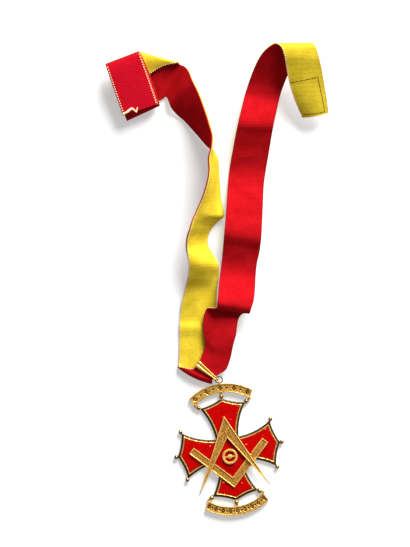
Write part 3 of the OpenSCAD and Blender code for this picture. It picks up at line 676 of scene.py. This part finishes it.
def metal(name, colour, dark, roughness, grain, speck, patina, sunk_and_shaded):
    """Metal with specks of the dark colour, two mixed darker colours where the mark for grounds and
    shade is, which are sunk grounds and, on the rims and the bail, painted shade, and painted
    near-black shade where the tip mark is. The patina is the dull part of its surface."""
    m, tree = new_material(name)
    fine = noise(tree, 1500.0)
    worn = mixed(tree, ramp(tree, fine, 0.50, 0.66, 0.0, speck), colour, dark)
    # Sunk grounds, and painted shade on the rims and the bail
    ground = mixed(tree, ramp(tree, fine, 0.36, 0.60), *sunk_and_shaded)
    body = mixed(tree, mark(tree, "recess"), worn, ground)
    # Painted near-black shade on the compasses' points
    tip = ramp(tree, mark(tree, "tip"), *TIP_SHADE_RANGE)
    surface(tree, Base_Color=mixed(tree, tip, body, TIP_SHADE_COLOUR), Roughness=roughness,
            Metallic=1.0 - patina, Normal=bump(tree, fine, grain, 0.0002))
    return m


def enamel(name, colour):
    """Glossy vitreous red with a slightly uneven surface and a few pale pits."""
    m, tree = new_material(name)
    pits = node(tree, "ShaderNodeTexVoronoi", Scale=230.0, Vector=coordinates(tree, "Object"))
    near = ramp(tree, pits.outputs["Distance"], 0.07, 0.12, 1.0, 0.0)
    cloud = ramp(tree, noise(tree, 420.0), 0.35, 0.65)
    glass = mixed(tree, cloud, colour, (0.30, 0.0, 0.0))
    surface(tree, Base_Color=mixed(tree, near, glass, (0.66, 0.20, 0.15)), Roughness=0.35,
            Specular_IOR_Level=0.0, Coat_Weight=0.12, Coat_Roughness=0.06,
            Normal=bump(tree, noise(tree, 180.0, 1.0), 0.25, 0.0005))
    return m


def cloth(name, colour, deep, sheen):
    """Grosgrain: fine ribs across the ribbon in the cloth's own flat coordinates, and threads
    that catch less light."""
    m, tree = new_material(name)
    soft = ramp(tree, noise(tree, 160.0, 4.0), 0.35, 0.65)
    grain = noise(tree, 1300.0, 1.0)
    threads = ramp(tree, grain, 0.42, 0.62, 0.0, 0.22)
    shade = tuple(c * 0.45 for c in deep)
    ribs = node(tree, "ShaderNodeTexWave", Scale=430.0, Distortion=1.2, Detail=2.0,
                Vector=coordinates(tree, "UV"))
    weave = node(tree, "ShaderNodeMath", operation="MULTIPLY_ADD")
    tree.links.new(ribs.outputs["Fac"], weave.inputs[0])
    weave.inputs[1].default_value = 0.5
    tree.links.new(grain, weave.inputs[2])
    surface(tree, Base_Color=mixed(tree, threads, mixed(tree, soft, colour, deep), shade),
            Roughness=0.6, Specular_IOR_Level=0.0, Sheen_Weight=sheen, Sheen_Roughness=0.4,
            Normal=bump(tree, weave.outputs["Value"], 0.6, 0.00014))
    return m


def hook_tape(name, colour):
    """Crimson tape with short slanting hooks and pale selvedges, in its flat coordinates."""
    m, tree = new_material(name)
    slant = node(tree, "ShaderNodeMapping", Vector=coordinates(tree, "UV"),
                 Rotation=(0, 0, math.radians(38)))
    hooks = node(tree, "ShaderNodeTexWave", Scale=300.0, Distortion=3.0, Detail=2.0,
                 Detail_Scale=6.0, Vector=slant.outputs["Vector"]).outputs["Fac"]
    body = mixed(tree, hooks, (0.34, 0.002, 0.008), colour)
    surface(tree, Base_Color=mixed(tree, mark(tree, "selvedge"), body, (0.62, 0.12, 0.13)),
            Roughness=0.7, Specular_IOR_Level=0.0, Normal=bump(tree, hooks, 0.7, 0.0003))
    return m


def plain(name, colour, roughness=0.8, glow=0.0):
    """One colour, matte, and glow is an even light of its own."""
    m, tree = new_material(name)
    surface(tree, Base_Color=(*colour, 1), Roughness=roughness, Specular_IOR_Level=0.1,
            Emission_Color=(1.0, 1.0, 1.0, 1.0), Emission_Strength=glow)
    return m


# What each finish has besides its main colour, which is one of the settings. Metals: colour of
# the specks, roughness, strength of the grain, share of specks, patina, and the two colours of
# the sunken grounds, which on the rims and the bail are painted shade. Cloths: deep colour and
# sheen. Over the tip range, in mm below the centre, the compasses' points turn black with
# painted shade.
TIP_SHADE_COLOUR, TIP_SHADE_RANGE = (0.05, 0.035, 0.025), (19.0, 20.6)
NO_GROUND = ((0.0, 0.0, 0.0), (0.0, 0.0, 0.0))
FINISHES = {
    "gilt": (metal, (0.34, 0.15, 0.03), 0.40, 0.9, 0.6, 0.35,
             ((0.74, 0.38, 0.065), (0.27, 0.105, 0.015))),
    # The rims' ground colours are painted shade on the plate's side
    "rim_gilt": (metal, (0.10, 0.045, 0.01), 0.34, 0.8, 0.7, 0.3,
                 ((0.12, 0.05, 0.01), (0.03, 0.012, 0.003))),
    "banner_gilt": (metal, (0.13, 0.05, 0.01), 0.34, 0.9, 1.0, 0.3,
                    ((0.20, 0.05, 0.015), (0.04, 0.012, 0.003))),
    # The bail's ground colours are painted shade in its groove and on its inner face
    "bail_gilt": (metal, (0.14, 0.07, 0.015), 0.3, 0.0, 0.1, 0.15,
                  ((0.14, 0.07, 0.015), (0.14, 0.07, 0.015))),
    "olive_gilt": (metal, (0.12, 0.08, 0.03), 0.28, 0.3, 0.25, 0.0, NO_GROUND),
    "dark_brass": (metal, (0.03, 0.015, 0.006), 0.45, 0.3, 0.5, 0.5, NO_GROUND),
    "enamel": (enamel,),
    "red_cloth": (cloth, (0.31, 0.0038, 0.0062), 0.0),
    "yellow_cloth": (cloth, (0.51, 0.365, 0.018), 0.0),
    "hook_tape": (hook_tape,),
    "loop_tape": (cloth, (0.34, 0.008, 0.018), 0.3),
    "cream_thread": (plain,),
    "red_thread": (plain,),
    "brown_thread": (plain,),
    "floor": (plain, 0.9, 0.38),
}
MATERIALS = {}


def material(name):
    """The finish of that name, made when first asked for."""
    if name not in MATERIALS:
        maker, *values = FINISHES[name]
        colour = tuple(getattr(bpy.context.scene.jewel_colours, name))
        MATERIALS[name] = maker(name, colour, *values)
    return MATERIALS[name]


# Settings
def length(name, text, value, low=0.0):
    """A length property in metres."""
    return bpy.props.FloatProperty(name=name, description=text, default=value, min=low,
                                   unit="LENGTH")


def angle(name, text, degrees):
    """An angle property."""
    return bpy.props.FloatProperty(name=name, description=text, default=math.radians(degrees),
                                   subtype="ANGLE")


def number(name, text, value):
    """A plain number, whole if its default is."""
    kind = bpy.props.IntProperty if isinstance(value, int) else bpy.props.FloatProperty
    return kind(name=name, description=text, default=value, min=0)


def colour(name, text, *value):
    """A colour property."""
    return bpy.props.FloatVectorProperty(name=name, description=text, default=value, min=0.0,
                                         max=1.0, size=3, subtype="COLOR")


class JewelSettings(bpy.types.PropertyGroup):
    """Sizes of the jewel"""
    turn: angle("Turn", "How far the jewel is turned on the surface", 8.3)
    arm_tip: length("Arm point", "Distance from the centre to the point of each arm", 0.0279)
    arm_corner_x: length("Arm corner, half width", "Half the width of an arm's end", 0.0124)
    arm_corner_y: length("Arm corner, distance", "Distance of the corners along the arm", 0.0240)
    arm_waist: length("Waist", "Half the width where two arms meet", 0.0062)
    side_hollow: length("Side hollow", "Hollow of the arm's sides", 0.0013)
    end_hollow: length("End hollow", "Hollow of the arm's end edges", 0.00065)
    ball_r: length("Ball radius", "Radius of the balls on the points", 0.0012)
    field_r: length("Field radius", "Radius of the enamel field under the emblem", 0.0085)
    field_y: length("Field place", "Middle of that field along the arm", -0.0038, -0.01)
    banner_centre: length("Banner arc centre", "Distance of the arc's centre", 0.0068)
    banner_r: length("Banner radius", "Outer radius of the banner", 0.029)
    banner_w: length("Banner width", "Width of the banner", 0.00475)
    banner_half: angle("Banner half angle", "Half the angle that a banner spans", 30)
    upper_marks: number("Upper marks", "Marks on the upper banner, an odd number", 9)
    lower_marks: number("Lower marks", "Marks on the lower banner, an odd number", 17)
    square_arm: length("Square arm", "Outside length of the square's arms", 0.0305)
    square_w: length("Square width", "Width of the square's arms", 0.0041)
    square_low: length("Square corner", "Distance of its corner below the centre", 0.0208)
    compass_apex: length("Compass apex", "Outer apex above the centre", 0.0184)
    compass_crotch: length("Compass crotch", "Inner apex above the centre", 0.0063)
    compass_reach: length("Compass reach", "Half the distance between the points", 0.020)
    compass_low: length("Compass points", "Distance of the points below the centre", 0.0232)
    bail_length: length("Bail length", "Length of the bail", 0.0154)
    bail_wide: length("Bail, wide end", "Width where it holds the ribbon", 0.0042)
    bail_narrow: length("Bail, narrow end", "Width where it holds the link ring", 0.0013)


class RibbonSettings(bpy.types.PropertyGroup):
    """Sizes of the ribbon"""
    layer_t: length("Layer thickness", "Thickness of one of the two layers", 0.00055)
    layer_gap: length("Layer gap", "Gap between the layers", 0.0001)
    step: length("Step", "Distance between two cross-sections", 0.0007)
    tape_t: length("Tape thickness", "Thickness of the closure tapes", 0.0011)
    tape_share: number("Tape share", "Part of the width under a tape", 0.98)
    stitch: length("Stitch", "Distance between two stitches", 0.00135)


class StageSettings(bpy.types.PropertyGroup):
    """Camera and light"""
    camera_x: length("Camera X", "Middle of the picture", -0.0129, -1.0)
    camera_y: length("Camera Y", "Middle of the picture", 0.0950, -1.0)
    camera_height: length("Camera height", "Height above the surface", 3.0)
    view_height: length("Picture height", "Length on the surface that fills it", 0.2954)
    key_power: number("Key power", "Power of the key light in watts", 168.0)
    key_size: length("Key size", "Diameter of the key light", 1.4)
    key_far: length("Key distance", "Distance of the key light", 2.2)
    key_height: angle("Key height", "Height of the key light above the surface", 29)
    key_side: angle("Key side", "Direction of the key light, from the picture's right", 67)
    room: number("Room", "Brightness of the room all round", 0.33)


class ColourSettings(bpy.types.PropertyGroup):
    """Main colour of each finish"""
    gilt: colour("Gilt", "Square, compasses and small ring", 0.82, 0.50, 0.12)
    rim_gilt: colour("Rims", "Rims of the cross", 0.80, 0.52, 0.14)
    banner_gilt: colour("Banners", "Banners and eyelet", 0.76, 0.44, 0.09)
    bail_gilt: colour("Bail", "Bail", 0.82, 0.50, 0.12)
    olive_gilt: colour("Balls", "Balls on the points", 0.30, 0.20, 0.07)
    dark_brass: colour("Link ring", "Link ring", 0.07, 0.04, 0.012)
    enamel: colour("Enamel", "Enamel in the arms", 0.37, 0.0005, 0.0)
    red_cloth: colour("Red layer", "Red layer of the ribbon", 0.37, 0.0052, 0.0085)
    yellow_cloth: colour("Yellow layer", "Yellow layer of the ribbon", 0.60, 0.445, 0.030)
    hook_tape: colour("Hook tape", "Hooks of the left tape", 0.47, 0.006, 0.018)
    loop_tape: colour("Loop tape", "Loops of the right tape", 0.40, 0.01, 0.02)
    cream_thread: colour("Cream thread", "Edge stitches and loose thread", 0.86, 0.68, 0.38)
    red_thread: colour("Red thread", "Edge stitches of the red layer", 0.16, 0.008, 0.008)
    brown_thread: colour("Brown thread", "Stitched box", 0.10, 0.022, 0.005)
    floor: colour("Floor", "Surface under the jewel", 0.52, 0.52, 0.52)


# Operators
class JEWEL_OT_cross(bpy.types.Operator):
    """Cross with splayed arms, its raised rims, its enamel and the balls on its points"""
    bl_idname = "jewel.cross"
    bl_label = "Cross"

    def execute(self, context):
        s = context.scene.jewel
        # The rings of the plate's side get the darker ground colours as painted shade
        plate = relief(lambda i: cross_outline(s, i), PLATE_RELIEF, SHADED_PLATE_SIDE)
        fields = relief(lambda i: cross_outline(s, i), ENAMEL_RELIEF)
        back, disc = self.disc(s, BACK_PROFILE), self.disc(s, FIELD_PROFILE)
        point, corner = arm_point(s) + POINT_OUT, arm_corner(s) + CORNER_OUT
        r = s.ball_r / MM
        balls = [turned(ball((*place, r + BALL_LIFT), r), k * math.pi / 2)
                 for k in range(4) for place in (point, corner, corner * MIRROR)]
        add_object("cross", turned(joined([plate, back]), s.turn), "rim_gilt",
                   replaces=("cross_frame",))
        add_object("balls", turned(joined(balls), s.turn), "olive_gilt")
        add_object("enamel", turned(joined([fields, disc]), s.turn), "enamel",
                   replaces=("cross_enamel",))
        return {"FINISHED"}

    @staticmethod
    def disc(s, profile):
        """Round slab about the field's middle, turned from its radius plus each offset."""
        rows = [(s.field_r / MM + beyond, z) for beyond, z in profile]
        rows = [(NEAR_AXIS, rows[0][1]), *rows, (NEAR_AXIS, rows[-1][1])]
        return lathe((0, s.field_y / MM, 0), rows)


class JEWEL_OT_banners(bpy.types.Operator):
    """Two curved banners with raised rims and marks, their joints and the eyelet"""
    bl_idname = "jewel.banners"
    bl_label = "Banners"

    def execute(self, context):
        s = context.scene.jewel
        bars = []
        for place, (start, end, width), side in ((arm_point(s), POINT_BAR, 1),
                                                 (arm_corner(s), CORNER_BAR, 1),
                                                 (arm_corner(s), CORNER_BAR, MIRROR)):
            bars.append(box_bar((place + start) * side, (place + end) * side, width, *BAR_HEIGHTS))
        shapes = [torus(eyelet_middle(s), (0, 1, 0), (0, 0, 1), *EYELET)]
        for flip, marks in ((0.0, s.upper_marks), (math.pi, s.lower_marks)):
            rim = relief(lambda i: banner_outline(s, i), BANNER_RELIEF)
            shapes.append(turned(joined([rim, self.ground(s, marks), *bars]), flip))
        add_object("banners", turned(joined(shapes), s.turn), "banner_gilt")
        return {"FINISHED"}

    @staticmethod
    def ground(s, marks, cells=(300, 30)):
        """Slab under the banner's rim, (r sin a, c + r cos a), its top cut by depth * cut. The
        cut is 1 on lozenges and pellets, by turns, along the band's middle line, where a lozenge
        is |along| / wide + |across| / high < 1 with a smaller one left out."""
        c, outer = s.banner_centre / MM, s.banner_r / MM
        big, small = outer - GROUND_EDGE, outer - s.banner_w / MM + GROUND_EDGE
        middle = (big + small) / 2
        reach = FILL * math.asin(math.sin(s.banner_half) * (outer + END_COSINE * c) / outer)
        a = np.linspace(reach, -reach, cells[0])[:, None]
        r = np.linspace(small, big, cells[1])[None, :]
        pitch = 2 * reach * middle / marks
        k = np.round(a * middle / pitch)
        near, across = np.abs(a * middle - k * pitch), np.abs(r - middle)
        wide, high = min(LOZENGE[0], PITCH_SHARE * pitch), LOZENGE[1]
        share, low = LEFT_OUT
        lozenge = np.clip(LOZENGE_SHARP * (1 - near / wide - across / high), 0, 1)
        hollow = np.clip(LOZENGE_SHARP * (1 - near / (share * wide) - across / low), 0, 1)
        pellet = np.clip(PELLET_SHARP * (1 - np.hypot(near, across) / PELLET_R), 0, 1)
        cut = np.clip(np.where(k % 2 != 0, pellet, lozenge - hollow), 0, 1)
        x, y = r * np.sin(a), c + r * np.cos(a)
        top = np.stack([x, y, GROUND_TOP - MARK_DEPTH * cut], -1)
        bottom = np.stack([x, y, np.full_like(x, GROUND_LOW)], -1)[:, ::-1]
        recess = np.concatenate([cut, np.ones_like(cut)], 1)
        return tube(np.concatenate([top, bottom], 1), {"recess": recess.ravel()})


class JEWEL_OT_emblem(bpy.types.Operator):
    """Square, compasses and the small ring in the middle"""
    bl_idname = "jewel.emblem"
    bl_label = "Square and compasses"

    def execute(self, context):
        s = context.scene.jewel
        a, w, c = s.square_arm / MM, s.square_w / MM, math.sqrt(0.5)
        arms = np.array([(0, 0), (a, 0), (a, w), (w, w), (w, a), (0, a)])
        arms = arms @ np.array([[c, c], [-c, c]]) + [0, -s.square_low / MM]
        square = relief(lambda i: mitred(arms, i), SQUARE_RELIEF, GROUND)
        x, y = s.compass_reach / MM, -s.compass_low / MM
        legs = np.array([(0, s.compass_apex / MM), (-x, y), (0, s.compass_crotch / MM), (x, y)])
        compasses = relief(lambda i: mitred(legs, i), COMPASS_RELIEF, GROUND)
        # Distance below the centre, where the compasses' points get painted near-black shade
        compasses["marks"]["tip"] = -compasses["points"][:, 1]
        annulet = joined([
            lathe((0, EMBLEM_Y, 0), WHEEL_PROFILE, capped=False),
            lathe((0, EMBLEM_Y, 0), PELLET_PROFILE), box_bar(*ANNULET_BAR)])
        for name, piece, solid in (("square", square, "set_square"),
                                   ("compasses", compasses, "compasses"),
                                   ("annulet", annulet, "annulet")):
            add_object(name, turned(piece, s.turn), "gilt", replaces=(solid,))
        return {"FINISHED"}


class JEWEL_OT_links(bpy.types.Operator):
    """Link ring and the tapered two-ribbed bail"""
    bl_idname = "jewel.links"
    bl_label = "Link ring and bail"

    def execute(self, context):
        s = context.scene.jewel
        up = np.array([0, math.cos(LINK_LEAN), math.sin(LINK_LEAN)])
        ring = torus(eyelet_middle(s) + LINK_RING[0] * up, (1, 0, 0), up, *LINK_RING)
        add_object("link_ring", turned(ring, s.turn), "dark_brass",
                   replaces=("link_ring",))
        bail = self.bail(s.bail_length / MM, s.bail_wide / MM, s.bail_narrow / MM)
        add_object("bail", turned(bail, BAIL_TURN, BAIL_AT), "bail_gilt", sharp=50,
                   replaces=("bail",))
        return {"FINISHED"}

    @staticmethod
    def bail(size, wide, narrow, ends=(2.05, 1.7), t=0.8, back=1.4, sides=20):
        """Loop in an upright plane: two half circles joined by straight runs, the section a
        flat bar with two rounded ribs outside, its width falling along the loop."""
        half_turn = np.linspace(0.5, -0.5, sides) * math.pi
        wave = np.column_stack([np.cos(half_turn), np.sin(half_turn)])
        left = np.array([ends[0], back + ends[0]]) - (ends[0] - t / 2) * wave
        right = np.array([size - ends[1], back + ends[1]]) + (ends[1] - t / 2) * wave
        run = np.linspace(0, 1, 24)[1:-1, None]
        path = np.concatenate([left, left[-1] * (1 - run) + right[0] * run, right,
                               right[-1] * (1 - run) + left[0] * run])
        ahead = unit(np.roll(path, -1, 0) - np.roll(path, 1, 0))
        out = np.column_stack([-ahead[:, 1], ahead[:, 0]])
        half = (wide + (narrow - wide) * np.clip(path[:, 0] / size, 0, 1)) / 2
        y, inner = np.linspace(-1, 1, 25), np.linspace(INNER_EDGE, -INNER_EDGE, 9)
        rib = np.sqrt(np.clip(1 - ((np.abs(y) - RIB_AT) / RIB_HALF) ** 2, 0, 1))
        across = np.concatenate([y, inner])
        height = np.concatenate([t / 2 * (GROOVE_LEVEL + (1 - GROOVE_LEVEL) * rib),
                                 np.full_like(inner, -t / 2)])
        plan = path[:, None] + height[None, :, None] * out[:, None]
        rings = np.stack([plan[..., 0], across[None, :] * half[:, None], plan[..., 1]], -1)
        # Painted shade: darkest in the groove between the ribs, and over the inner face
        painted_shade = np.concatenate([np.exp(-(y / SHADED_GROOVE_HALF) ** 2),
                                 np.full_like(inner, INNER_SHADE)])
        return tube(rings, {"recess": np.tile(painted_shade, len(path))}, capped=False)


class JEWEL_OT_ribbon(bpy.types.Operator):
    """The two layers of the ribbon"""
    bl_idname = "jewel.ribbon"
    bl_label = "Ribbon"

    def execute(self, context):
        r = context.scene.jewel_ribbon
        band = Band(r.step / MM)
        g, t = r.layer_gap / MM / 2, r.layer_t / MM
        for side, low in (("red", -g - t), ("yellow", g)):
            s, uv = band.strip(0, len(band.rows) - 1, 1.0, low, low + t)
            obj = add_object(f"ribbon_{side}_cloth", s, f"{side}_cloth",
                             sharp=60, replaces=(f"ribbon_{side}",), uv=uv)
        return {"FINISHED"}


class JEWEL_OT_tapes(bpy.types.Operator):
    """Hook tape on the left end and loop tape under the right end"""
    bl_idname = "jewel.tapes"
    bl_label = "Closure tapes"

    def execute(self, context):
        r = context.scene.jewel_ribbon
        band = Band(r.step / MM)
        t = r.tape_t / MM
        face = (r.layer_gap / 2 + r.layer_t) / MM + TAPE_GAP
        for kind, rows, low in (("hook", HOOK_ROWS, face), ("loop", LOOP_ROWS, -face - t)):
            first, last = (band.index[k] for k in rows)
            s, uv = band.strip(first, last, r.tape_share, low, low + t)
            across = np.abs(uv[:, 1]) / (r.tape_share * HALF_TAPE)
            s["marks"]["selvedge"] = PALE * np.clip((across - PALE_FROM) * PALE_SHARP, 0, 1)
            obj = add_object(f"{kind}_cloth", s, f"{kind}_tape", sharp=60,
                             replaces=(f"{kind}_tape",), uv=uv)
        return {"FINISHED"}


def beads(places, along, across, up, size):
    """One ball per place: place + ball stretched to the half sizes along, across and up."""
    bead = ball((0, 0, 0), 1.0, 6, 4)
    k, n = len(bead["points"]), len(places)
    x, y, z = (bead["points"] * size).T[:, None, :, None]
    p = places[:, None] + x * along[:, None] + y * across[:, None] + z * up[:, None]
    faces = [[i + k * j for i in f] for j in range(n) for f in bead["faces"]]
    return outward(shape(p.reshape(-1, 3), faces))


def sewn(band, path, off, pitch, size, phase=0.0, cells=40, samples=60, ahead=0.2):
    """Stitches every pitch along a path of (distance, v) on the band, off above its middle
    surface, which is read from a grid of that many cells across, with straight lines between."""
    path = np.asarray(path, float)
    grid_v = np.linspace(-1, 1, cells + 1)
    points, normals = band.points(grid_v), band.normals(grid_v)

    def sample(grid, i, v):
        """The grid between its points, linear both ways."""
        i0 = np.clip(np.floor(i).astype(int), 0, len(grid) - 2)
        j = (v + 1) * cells / 2
        j0 = np.clip(np.floor(j).astype(int), 0, cells - 1)
        a, b = (i - i0)[:, None], (j - j0)[:, None]
        return ((grid[i0, j0] * (1 - b) + grid[i0, j0 + 1] * b) * (1 - a)
                + (grid[i0 + 1, j0] * (1 - b) + grid[i0 + 1, j0 + 1] * b) * a)

    spans = len(path) - 1
    fine = np.linspace(0, spans, samples * spans + 1)
    sections = np.interp(path[:, 0], band.length, np.arange(len(band.length)))
    i, v = (np.interp(fine, np.arange(spans + 1), k) for k in (sections, path[:, 1]))
    steps = np.linalg.norm(np.diff(sample(points, i, v), axis=0), axis=1)
    run = np.concatenate([[0], np.cumsum(steps)])

    def on_path(grid, at):
        """The grid at these distances along the path."""
        return sample(grid, np.interp(at, run, i), np.interp(at, run, v))

    at = np.arange(pitch * (0.5 + phase), run[-1], pitch)
    places, up = on_path(points, at), unit(on_path(normals, at))
    along = unit(on_path(points, at + ahead) - places)
    return beads(places + off * up + RIBBON_AT, along, np.cross(up, along), up, size)


class JEWEL_OT_stitches(bpy.types.Operator):
    """Edge stitches, the stitched box at the right end and the loose thread at the left end"""
    bl_idname = "jewel.stitches"
    bl_label = "Stitches"

    def execute(self, context):
        r = context.scene.jewel_ribbon
        band = Band(r.step / MM)
        pitch, end = r.stitch / MM, float(band.length[-1])
        face = (r.layer_gap / 2 + r.layer_t) / MM
        panel = float(band.length[band.index[HOOK_ROWS[1]]])
        on_tape = face + SEAM_LIFT + r.tape_t / MM

        def row(start, stop, v, count):
            """Path along the band at one place across."""
            return np.column_stack([np.linspace(start, stop, count), np.full(count, v)])

        fold = [(panel + FOLD_AFTER, v) for v in (-FOLD_ACROSS, FOLD_ACROSS)]
        box = [(end - before, v) for before, v in BOX_CORNERS]
        rows = {"cream": [], "red": [sewn(band, fold, face, FOLD_PITCH, FOLD_SIZE)],
                "box": [sewn(band, box, face, BOX_PITCH, BOX_SIZE)]}
        for side in (1, -1):
            for thread, v, off, first, size in EDGE_ROWS:
                edge = row(EDGE_STOP, end - EDGE_STOP, side * v, 40)
                rows[thread].append(sewn(band, edge, off, pitch, size, first))
            seam = row(SEAM_START, panel, side * SEAM_ACROSS, 6)
            rows["cream"].append(sewn(band, seam, on_tape, pitch, SEAM_SIZE))
        for thread, look, slot in (("cream", "cream_thread", "yellow_ribbon"),
                                   ("red", "red_thread", "red_ribbon"),
                                   ("box", "brown_thread", "yellow_ribbon")):
            add_object(f"{thread}_stitches", joined(rows[thread]), look, sharp=180)
        add_object("loose_thread", self.thread(), "cream_thread")
        return {"FINISHED"}

    @staticmethod
    def thread(count=60, smoothing=9):
        """Tube along the smoothed knots: middle + radius (cos a side + sin a up)."""
        t = np.linspace(0, len(LOOSE_THREAD) - 1, count)
        *line, thick = (np.interp(t, np.arange(len(LOOSE_THREAD)), k) for k in LOOSE_THREAD.T)
        kernel = np.hanning(smoothing) / np.hanning(smoothing).sum()
        smooth = np.column_stack([np.convolve(np.pad(k, smoothing // 2, "edge"), kernel, "valid")
                                  for k in line]) + RIBBON_AT
        ahead = unit(np.gradient(smooth, axis=0))
        side = unit(np.cross(ahead, [0, 0, 1.0]))
        up = np.cross(side, ahead)
        a = round_about(8)[None, :, None]
        return tube(smooth[:, None] + thick[:, None, None]
                    * (np.cos(a) * side[:, None] + np.sin(a) * up[:, None]))


class JEWEL_OT_stage(bpy.types.Operator):
    """Floor, light and camera"""
    bl_idname = "jewel.stage"
    bl_label = "Stage"

    def execute(self, context):
        s, scene = context.scene.jewel_stage, context.scene

        def placed(name, data, place=(0, 0, 0)):
            """A new object of the data at that place."""
            obj = bpy.data.objects.new(name, data)
            obj.location = place
            scene.collection.objects.link(obj)
            return obj

        mesh = bpy.data.meshes.new("floor")
        e, low = 3.0, -0.0001
        mesh.from_pydata([(-e, -e, low), (e, -e, low), (e, e, low), (-e, e, low)], [],
                         [(0, 1, 2, 3)])
        mesh.materials.append(material("floor"))
        ground = placed("floor", mesh)

        lamp = bpy.data.lights.new("key", "AREA")
        lamp.shape, lamp.size, lamp.energy = "DISK", s.key_size, s.key_power
        flat = math.cos(s.key_height)
        way = Vector((flat * math.cos(s.key_side), flat * math.sin(s.key_side),
                      math.sin(s.key_height)))
        key = placed("key", lamp, Vector((s.camera_x, s.camera_y, 0)) + way * s.key_far)
        key.rotation_euler = way.to_track_quat("Z", "Y").to_euler()

        scene.world = bpy.data.worlds.new("room")
        scene.world.use_nodes = True
        back = scene.world.node_tree.nodes["Background"]
        back.inputs["Color"].default_value = (1.0, 1.0, 1.0, 1.0)
        back.inputs["Strength"].default_value = s.room
        scene.view_settings.view_transform = "Standard"

        lens = bpy.data.cameras.new("camera")
        lens.sensor_fit, lens.sensor_height = "VERTICAL", 24.0
        lens.lens = lens.sensor_height * s.camera_height / s.view_height
        scene.camera = placed("camera", lens, (s.camera_x, s.camera_y, s.camera_height))
        return {"FINISHED"}


class JEWEL_PT_panel(bpy.types.Panel):
    """Buttons, sizes and colours of the jewel"""
    bl_idname = "JEWEL_PT_panel"
    bl_label = "Jewel"
    bl_space_type = "VIEW_3D"
    bl_region_type = "UI"
    bl_category = "Jewel"

    def draw(self, context):
        for kind in OPERATORS:
            self.layout.operator(kind.bl_idname)
        for name in GROUPS:
            group, column = getattr(context.scene, name), self.layout.column()
            for key in group.bl_rna.properties.keys():
                if key not in ("rna_type", "name"):
                    column.prop(group, key)


GROUPS = {"jewel": JewelSettings, "jewel_ribbon": RibbonSettings, "jewel_stage": StageSettings,
          "jewel_colours": ColourSettings}
OPERATORS = (JEWEL_OT_cross, JEWEL_OT_banners, JEWEL_OT_emblem, JEWEL_OT_links, JEWEL_OT_ribbon,
             JEWEL_OT_tapes, JEWEL_OT_stitches, JEWEL_OT_stage)
CLASSES = (*GROUPS.values(), *OPERATORS, JEWEL_PT_panel)


def register():
    """Makes the settings, the buttons and the panel known to Blender."""
    for kind in CLASSES:
        bpy.utils.register_class(kind)
    for name, group in GROUPS.items():
        setattr(bpy.types.Scene, name, bpy.props.PointerProperty(type=group))


def unregister():
    """Takes them out again."""
    for name in GROUPS:
        delattr(bpy.types.Scene, name)
    for kind in reversed(CLASSES):
        bpy.utils.unregister_class(kind)


def main():
    """Builds everything in order."""
    register()
    for name in ("cross", "banners", "emblem", "links", "ribbon", "tapes", "stitches", "stage"):
        getattr(bpy.ops.jewel, name)()


if __name__ == "__main__":
    main()
